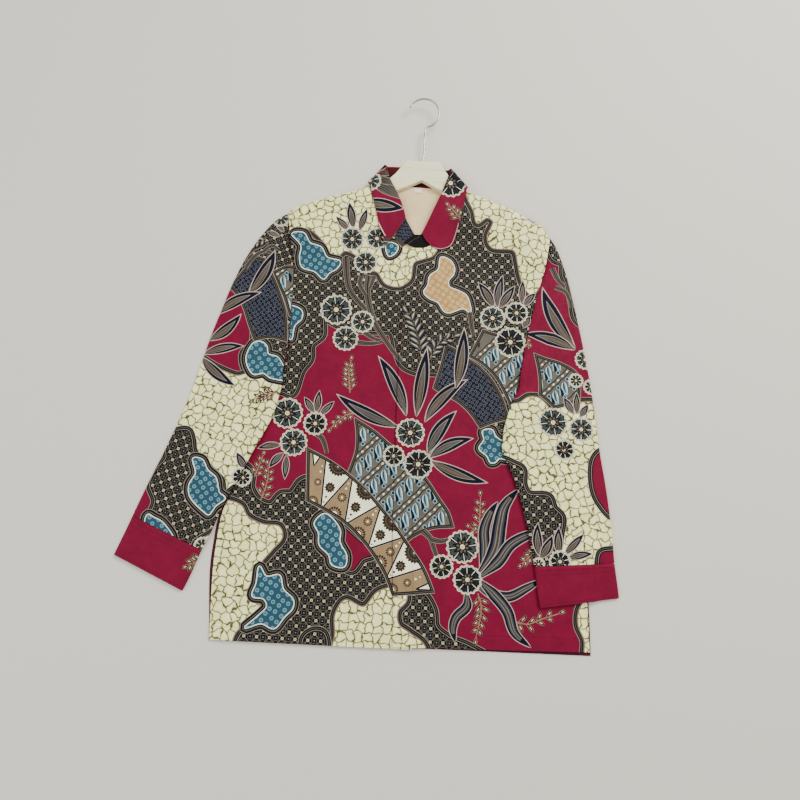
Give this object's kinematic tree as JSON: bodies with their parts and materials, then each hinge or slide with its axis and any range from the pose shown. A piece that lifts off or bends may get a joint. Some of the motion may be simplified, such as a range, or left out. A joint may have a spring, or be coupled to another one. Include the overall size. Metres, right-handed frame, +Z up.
{
  "type": "batik shirt on a wooden hanger",
  "caption": "Long-sleeved collared shirt of printed patchwork batik cotton with a hidden button front, laid out flat face up on a flat wooden hanger with a wire hook.",
  "frame": {"origin": "on the surface it lies on, on the shirt's centre line under the middle of the back panel", "axes": "+Y from hem to collar, +X to the right of someone looking down at the front, +Z up from the surface"},
  "size_m": [0.787, 0.9406, 0.021],
  "materials": {
    "batik_cotton": "printed cotton, soft and matt with a faint sheen",
    "batik_cotton_collar": "printed cotton over interlining, matt",
    "lining": "plain cream cotton lining, matt",
    "label_tape": "woven label tape, satin, bare",
    "hanger_wood": "smooth pale wood, satin varnish",
    "hook_wire": "nickel-plated steel wire, bright"
  },
  "bodies": {
    "root": {"back": "batik_cotton", "front_left": "batik_cotton", "front_right": "batik_cotton", "sleeve_left": "batik_cotton", "sleeve_right": "batik_cotton", "cuff_left": "batik_cotton_collar", "cuff_right": "batik_cotton_collar", "collar": "batik_cotton_collar", "collar_stand": "batik_cotton_collar", "lining_back": "lining", "label": "label_tape", "hanger": "hanger_wood", "hanger_hook": "hook_wire"}
  },
  "joints": []
}
